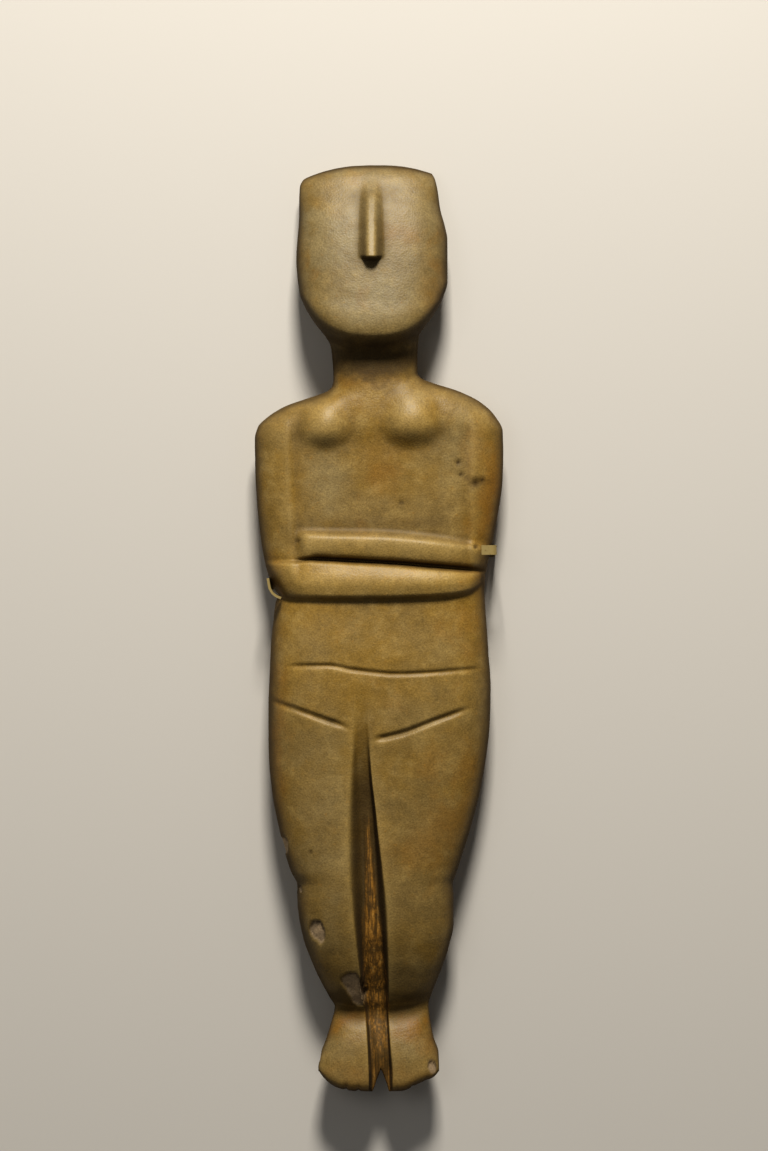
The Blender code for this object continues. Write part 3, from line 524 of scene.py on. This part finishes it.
def wornRelief(points):
    # sum of smooth noises, less the depth of each chip with its rough floor, less a bell for each toe line
    # and each pit; also the masks of the breaks, of the pits and of a painted shadow along each chip's upper
    # lip
    relief = np.zeros(len(points))
    for seed, (size, height) in enumerate(figure["swells"]):
        relief += height * softNoise(points, size, seed)
    warp = softNoise(points, 0.0028, 11) + 0.5 * softNoise(points, 0.0013, 12)
    rough = softNoise(points, 0.0022, 13) + 0.6 * softNoise(points, 0.0011, 14)
    fresh, lip = np.zeros(len(points)), np.zeros(len(points))
    for mark in figure["chips"]:
        inside = markShape(points, mark, warp)
        relief -= mark[5] * inside * (0.80 + 0.20 * rough)
        fresh = np.maximum(fresh, inside ** 2)
        # painted shadow: the part of the chip whose point a lip width up the figure lies outside it
        lip = np.maximum(lip, inside * (1 - markShape(points + (0, figure["lipShadowWidth"], 0), mark, warp)))
    for x, length in figure["toeLines"]:
        start = figure["toeY"] + length
        line = swell(points[:, 0] - x, figure["toeLineWidth"]) * rise(start, start - 0.004, points[:, 1])
        relief -= figure["toeLineDepth"] * line
    dark = np.zeros(len(points))
    for x, y, radius, depth in figure["pits"]:
        away = np.hypot(points[:, 0] - x, points[:, 1] - y) / radius
        hole = np.exp(-away ** 2) * (points[:, 2] > figure["wornAbove"])
        relief -= depth * hole
        dark = np.maximum(dark, hole)
    return relief, fresh, dark, lip


def stained(points, stains, warp):
    # for each stain its strength times a soft ellipse whose distance is bent by noise; the strongest counts
    total = np.zeros(len(points))
    for x, y, halfWidth, halfLength, strength in stains:
        away = np.hypot((points[:, 0] - x) / halfWidth, (points[:, 1] - y) / halfLength) + 0.35 * warp
        total = np.maximum(total, strength * rise(1.25, 0.35, away))
    return total


def cleftShadeAndCrust(points, warp):
    # painted shade on the cleft's banks, darker towards the floor and where the cleft is deep, and a crust
    # along its floor, each a smooth step of the distance from the axis
    x, y = points[:, 0], points[:, 1]
    side = x - curve(figure["axis"], y)
    floor, bank = cleftReach(side, y)
    away = (np.abs(side) - floor) / (bank - floor)
    depth = rise(0.0002, 0.0060, curve(figure["cleftDepth"], y))
    upper = points[:, 2] > 0.014
    shade = rise(1.02, 0.05, away + 0.06 * warp) * depth * upper
    width = floor * (0.35 + 0.80 * rise(-0.090, -0.150, y))
    crust = (rise(1.30, 0.70, np.abs(side) / width + 0.25 * warp) * rise(-0.084, -0.115, y + 0.004 * warp)
             * (1 - 0.55 * rise(-0.176, -0.205, y)) * upper)
    return shade, crust


def smoothed(grid, passes):
    # each number becomes a quarter of both neighbours and half of itself, along the rows and then the columns
    for _ in range(passes):
        wide = np.pad(grid, 1, mode="edge")
        grid = (wide[:-2, 1:-1] + 2 * wide[1:-1, 1:-1] + wide[2:, 1:-1]) / 4
        wide = np.pad(grid, 1, mode="edge")
        grid = (wide[1:-1, :-2] + 2 * wide[1:-1, 1:-1] + wide[1:-1, 2:]) / 4
    return grid


def makeMesh(name, points, faces, attributes):
    # mesh from its points and faces, with one number a point for each attribute
    mesh = bpy.data.meshes.new(name)
    mesh.from_pydata(points, [], faces)
    mesh.shade_smooth()
    for label, values in attributes.items():
        mesh.attributes.new(label, "FLOAT", "POINT").data.foreach_set("value", values.astype(np.float32))
    return mesh


def addPiece(name, mesh, material):
    # object at the origin, unturned, with one material
    piece = bpy.data.objects.new(name, mesh)
    mesh.materials.append(material)
    bpy.context.scene.collection.objects.link(piece)
    return piece


class Value:
    # a socket with the operators that are used, each of which adds a Math node
    def __init__(self, shader, socket):
        self.shader = shader
        self.socket = socket

    def maths(self, operation, *others):
        return Value(self.shader, self.shader.node("ShaderNodeMath", {"operation": operation},
                                                   dict(enumerate(others))).outputs[0])

    def __add__(self, other):
        return self.maths("ADD", self, other)

    def __mul__(self, other):
        return self.maths("MULTIPLY", self, other)

    __radd__ = __add__
    __rmul__ = __mul__

    def above(self, low, high):
        # 0 below low, 1 above high, smooth between
        return Value(self.shader, self.shader.node(
            "ShaderNodeMapRange", {"interpolation_type": "SMOOTHSTEP"},
            {"Value": self, "From Min": low, "From Max": high}).outputs["Result"])

    def atLeast(self, other):
        return self.maths("MAXIMUM", self, other)


class Shader:
    # one material's nodes
    def __init__(self, name):
        self.material = bpy.data.materials.new(name)
        self.material.use_nodes = True
        self.tree = self.material.node_tree
        self.surface = self.tree.nodes["Principled BSDF"]
        self.place = self.node("ShaderNodeTexCoord", {}, {}).outputs["Object"]

    def node(self, kind, settings, inputs):
        made = self.tree.nodes.new(kind)
        for name, setting in settings.items():
            setattr(made, name, setting)
        self.fill(made, inputs)
        return made

    def fill(self, node, inputs):
        for name, given in inputs.items():
            given = given.socket if isinstance(given, Value) else given
            if isinstance(given, bpy.types.NodeSocket):
                self.tree.links.new(given, node.inputs[name])
            else:
                node.inputs[name].default_value = given

    def noise(self, scale, detail=2.0, roughness=0.5, place=None, distortion=0.0):
        made = self.node("ShaderNodeTexNoise", {}, {
            "Vector": place or self.place, "Scale": scale, "Detail": detail, "Roughness": roughness,
            "Distortion": distortion})
        return Value(self, made.outputs["Fac"])

    def crystals(self, scale):
        made = self.node("ShaderNodeTexVoronoi", {}, {"Vector": self.place, "Scale": scale})
        return Value(self, made.outputs["Distance"])

    def stretched(self, scale):
        return self.node("ShaderNodeMapping", {}, {"Vector": self.place, "Scale": scale}).outputs["Vector"]

    def attribute(self, name):
        return Value(self, self.node("ShaderNodeAttribute", {"attribute_name": name}, {}).outputs["Fac"])

    def mix(self, factor, first, second):
        made = self.node("ShaderNodeMix", {"data_type": "RGBA"},
                         {0: factor, 6: self.colour(first), 7: self.colour(second)})
        return made.outputs[2]

    def scaled(self, colour, factor):
        made = self.node("ShaderNodeVectorMath", {"operation": "SCALE"}, {0: colour, "Scale": factor})
        return made.outputs[0]

    def colour(self, given):
        return (*given, 1.0) if isinstance(given, tuple) else given


marble = {
    "ochre": (0.255, 0.158, 0.030),
    "grey": (0.230, 0.158, 0.052),
    "cream": (0.400, 0.290, 0.110),
    "bloom": (0.285, 0.240, 0.132),
    "olive": (0.150, 0.095, 0.020),
    "orange": (0.270, 0.130, 0.012),
    "brown": (0.048, 0.026, 0.004),
    "fresh": (0.560, 0.430, 0.290),
    "freshShade": (0.330, 0.235, 0.130),
    "crust": (0.520, 0.260, 0.040),
    "crustBed": (0.125, 0.066, 0.012),
    # scales of the noises
    "patches": 28,
    "streaks": 45,
    "clouds": 95,
    "mottling": 260,
    "specks": 520,
    "strands": 900,
    "strandStretch": (1.0, 0.07, 1.0),   # the crust's strands run along the cleft
    "crystals": 1000,
    "grain": 1250,
    "specular": 0.34,
    "bumpStrength": 0.9,
    "bumpDistance": 0.001,
}


def marbleMaterial():
    # warm patina over crystalline marble: soft patches, mottling, grain, pale breaks, and painted shade,
    # highlights and falloff
    shader = Shader("wornMarble")
    patches = shader.noise(marble["patches"], 4, 0.55)
    clouds = shader.noise(marble["clouds"], 5, 0.62, distortion=0.4)
    mottling = shader.noise(marble["mottling"], 4, 0.65)
    grain = shader.noise(marble["grain"], 2, 0.6)
    crystal = shader.crystals(marble["crystals"])
    streaks = shader.noise(marble["streaks"], 5, 0.65, distortion=0.6)
    specks = shader.noise(marble["specks"], 3, 0.6).above(0.63, 0.72)
    strands = shader.noise(marble["strands"], 3, 0.6, place=shader.stretched(marble["strandStretch"]))
    side, crust, fresh = (shader.attribute(name) for name in ("side", "crust", "fresh"))
    # the hollows' mask is painted shade, partly a thicker patina there
    shadeAndGrime = shader.attribute("shadeAndGrime").atLeast(shader.attribute("hollowShadeAndPatina") * 0.8)
    colour = shader.mix(patches.above(0.36, 0.66), marble["ochre"], marble["grey"])
    colour = shader.mix(shader.attribute("bloom") * (clouds + 0.25), colour, marble["bloom"])
    colour = shader.mix(clouds.above(0.45, 0.78) * 0.55, colour, marble["cream"])
    colour = shader.mix(clouds.above(0.50, 0.24) * 0.40, colour, marble["olive"])
    colour = shader.mix(streaks.above(0.56, 0.78) * 0.40, colour, marble["orange"])
    colour = shader.mix(shader.attribute("rust") * streaks.above(0.30, 0.60) * 0.85, colour, marble["orange"])
    # painted highlight: raised ridges turned cream, partly a thinner patina on them
    colour = shader.mix(shader.attribute("ridgeHighlightAndWear") * 0.5, colour, marble["cream"])
    colour = shader.mix(specks * 0.35, colour, marble["orange"])
    # painted shade: the steep sides darkened to brown, more where the normal points less up
    colour = shader.mix(side * 0.80, colour, marble["brown"])
    # painted shade: brown in the sheltered places, on the cleft's banks and in the hollows
    colour = shader.mix(shadeAndGrime * (mottling * 0.5 + 0.55), colour, marble["brown"])
    colour = shader.mix(crust * 0.75, colour, marble["crustBed"])
    strandy = crust * strands.above(0.38, 0.66) * mottling.above(0.30, 0.62)
    colour = shader.mix(strandy, colour, marble["crust"])
    colour = shader.mix(crust * strands.above(0.58, 0.74) * 0.5, colour, marble["cream"])
    colour = shader.mix(fresh * 0.92, colour, shader.mix(mottling, marble["fresh"], marble["freshShade"]))
    # painted shadow along the chips' upper lips, with the dark pits
    shaded = shader.attribute("pit").atLeast(shader.attribute("lip"))
    colour = shader.mix(shaded * 0.95, colour, marble["brown"])
    # painted light: the falloff along the figure, times the mottling and the grain
    light = shader.attribute("tone") * (0.26 + mottling * 0.56 + grain * 0.94)
    colour = shader.scaled(colour, light)
    height = mottling * 0.09 + grain * 0.08 + crystal * 0.06 + crust * strands * 0.18
    bump = shader.node("ShaderNodeBump", {}, {
        "Height": height, "Strength": marble["bumpStrength"], "Distance": marble["bumpDistance"]})
    shader.fill(shader.surface, {
        "Base Color": colour,
        "Roughness": 0.36 + grain * 0.22 + side * 0.35 + shadeAndGrime * 0.25 + fresh * 0.3,
        "Normal": bump.outputs["Normal"],
        "Specular IOR Level": marble["specular"],
    })
    return shader.material


def buildFigure():
    # the carved surface, moved along its own normals by the worn relief, centred and held inside the box of
    # the solid that it stands for; its masks are made from the same points
    points, faces = figureSurface()
    mesh = makeMesh("figureSurface", points, faces, {})
    normals = np.zeros(len(points) * 3, np.float32)
    mesh.vertex_normals.foreach_get("vector", normals)
    relief, fresh, pit, lip = wornRelief(points)
    points = points + normals.reshape(-1, 3) * relief[:, None]
    low, high = (np.array(corner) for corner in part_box("figurine"))
    points[:, :2] -= (points[:, :2].min(axis=0) + points[:, :2].max(axis=0)) / 2 - (low + high)[:2] / 2
    points = np.clip(points, low, high)
    wide = figure["frontColumns"] + 1
    frontCount = len(frontLines(figure["frontColumns"])) * wide
    height = points[:frontCount, 2].reshape(-1, wide)
    lift = np.zeros(len(points))
    lift[:frontCount] = (height - smoothed(height, figure["smoothPasses"])).ravel()
    facing = np.abs(normals.reshape(-1, 3)[:, 2])
    warp = (softNoise(points, 0.011, 21) + 0.6 * softNoise(points, 0.005, 22)
            + 0.4 * softNoise(points, 0.0023, 23))
    shade, crust = cleftShadeAndCrust(points, warp)
    # several of these masks paint shade or light into the colour: the hollows, the ridges, the sheltered
    # places, the chips' upper lips, the steep sides and the falloff along the figure
    mesh = makeMesh("figurineMarble", points, faces, {
        "bloom": stained(points, figure["blooms"], warp), "rust": stained(points, figure["rusts"], warp),
        "fresh": fresh, "pit": pit,
        "hollowShadeAndPatina": np.clip(-lift / figure["hollowFull"], 0, 1),
        "ridgeHighlightAndWear": np.clip(lift / figure["ridgeFull"], 0, 1),
        "shadeAndGrime": np.maximum(stained(points, figure["shadesAndGrimes"], warp), shade), "lip": lip,
        "tone": curve(figure["tone"], points[:, 1]),
        "side": rise(*figure["sideShadeFacing"], facing), "crust": crust})
    return addPiece("figurineMarble", mesh, marbleMaterial())


statue = buildFigure()
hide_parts("figurine")
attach(statue, "root")
print("stage 2: figurine, faces", len(statue.data.polygons))

mount = {
    "paint": (0.32, 0.25, 0.10),
    "wornPaint": (0.20, 0.13, 0.04),
    "wearScale": 400,
    "bumpStrength": 0.5,
    "bumpDistance": 0.0002,
    "bevel": 0.00025,
    "bevelSteps": 2,
    "mergeWithin": 1e-6,
}


def mountMaterial():
    # one noise thins the paint, brings out the metal and roughens the surface
    shader = Shader("wornPaint")
    wear = shader.noise(mount["wearScale"], 4, 0.6)
    colour = shader.mix(wear.above(0.55, 0.75) * 0.6, mount["paint"], mount["wornPaint"])
    bump = shader.node("ShaderNodeBump", {}, {
        "Height": wear, "Strength": mount["bumpStrength"], "Distance": mount["bumpDistance"]})
    shader.fill(shader.surface, {"Base Color": colour, "Roughness": 0.35 + wear * 0.3,
                                 "Metallic": wear.above(0.62, 0.7) * 0.6, "Normal": bump.outputs["Normal"]})
    return shader.material


def buildMount():
    # copy of the solid with its doubles merged, its edges softened by a narrow bevel
    source = bmesh.new()
    source.from_mesh(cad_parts["mount_cradle"].data)
    bmesh.ops.remove_doubles(source, verts=source.verts, dist=mount["mergeWithin"])
    mesh = bpy.data.meshes.new("mountStrip")
    source.to_mesh(mesh)
    source.free()
    mesh.materials.clear()
    piece = addPiece("mountStrip", mesh, mountMaterial())
    bevel = piece.modifiers.new("softEdges", "BEVEL")
    bevel.width = mount["bevel"]
    bevel.segments = mount["bevelSteps"]
    return piece


strip = buildMount()
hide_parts("mount_cradle")
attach(strip, "root")
print("stage 3: mount")

studio = {
    "lookAt": (0.0024, 0.0251, 0.017),
    "distance": 2.5,
    "fieldHeight": 0.5585,     # metres across the picture's long side at the figure
    "floorHalf": 3.0,
    "floorColour": (0.62, 0.61, 0.59),
    "floorShade": (0.55, 0.54, 0.52),
    "floorRoughness": 0.8,
    "world": (1.0, 0.96, 0.90),
    "worldStrength": 0.10,
    "sensorWidth": 36,
    # lamps as (place, size, watts, colour)
    "key": ((0.05, 1.40, 1.02), 0.36, 36.0, (1.0, 0.93, 0.82)),
    "fill": ((-0.6, 0.3, 1.6), 0.8, 2.0, (1.0, 0.95, 0.88)),
}


def areaLight(name, place, size, watts, colour):
    # square lamp that faces the figure
    data = bpy.data.lights.new(name, "AREA")
    data.size = size
    data.energy = watts
    data.color = colour
    lamp = bpy.data.objects.new(name, data)
    bpy.context.scene.collection.objects.link(lamp)
    lamp.location = place
    lamp.rotation_euler = (Vector(studio["lookAt"]) - Vector(place)).to_track_quat("-Z", "Y").to_euler()


def buildStudio():
    # pale floor, two lamps, a dim world and the camera straight above, its lens from the field at the figure
    half = studio["floorHalf"]
    corners = np.array([(-half, -half, 0), (half, -half, 0), (half, half, 0), (-half, half, 0)])
    shader = Shader("paleFloor")
    tone = shader.noise(3, 2, 0.5)
    colour = shader.mix(tone * 0.15, studio["floorColour"], studio["floorShade"])
    shader.fill(shader.surface, {"Base Color": colour, "Roughness": studio["floorRoughness"]})
    floor = addPiece("floor", makeMesh("floor", corners, [[0, 1, 2, 3]], {}), shader.material)
    areaLight("key", *studio["key"])
    areaLight("fill", *studio["fill"])
    world = bpy.data.worlds.new("studio")
    bpy.context.scene.world = world
    world.use_nodes = True
    background = world.node_tree.nodes["Background"]
    background.inputs["Color"].default_value = (*studio["world"], 1)
    background.inputs["Strength"].default_value = studio["worldStrength"]
    lens = bpy.data.cameras.new("camera")
    lens.sensor_width = studio["sensorWidth"]
    lens.lens = lens.sensor_width * studio["distance"] / studio["fieldHeight"]
    camera = bpy.data.objects.new("camera", lens)
    bpy.context.scene.collection.objects.link(camera)
    x, y, z = studio["lookAt"]
    camera.location = (x, y, z + studio["distance"])
    bpy.context.scene.camera = camera
    bpy.context.scene.view_settings.view_transform = "Standard"
    bpy.context.scene.view_settings.look = "Medium High Contrast"


buildStudio()
print("stage 4: studio")
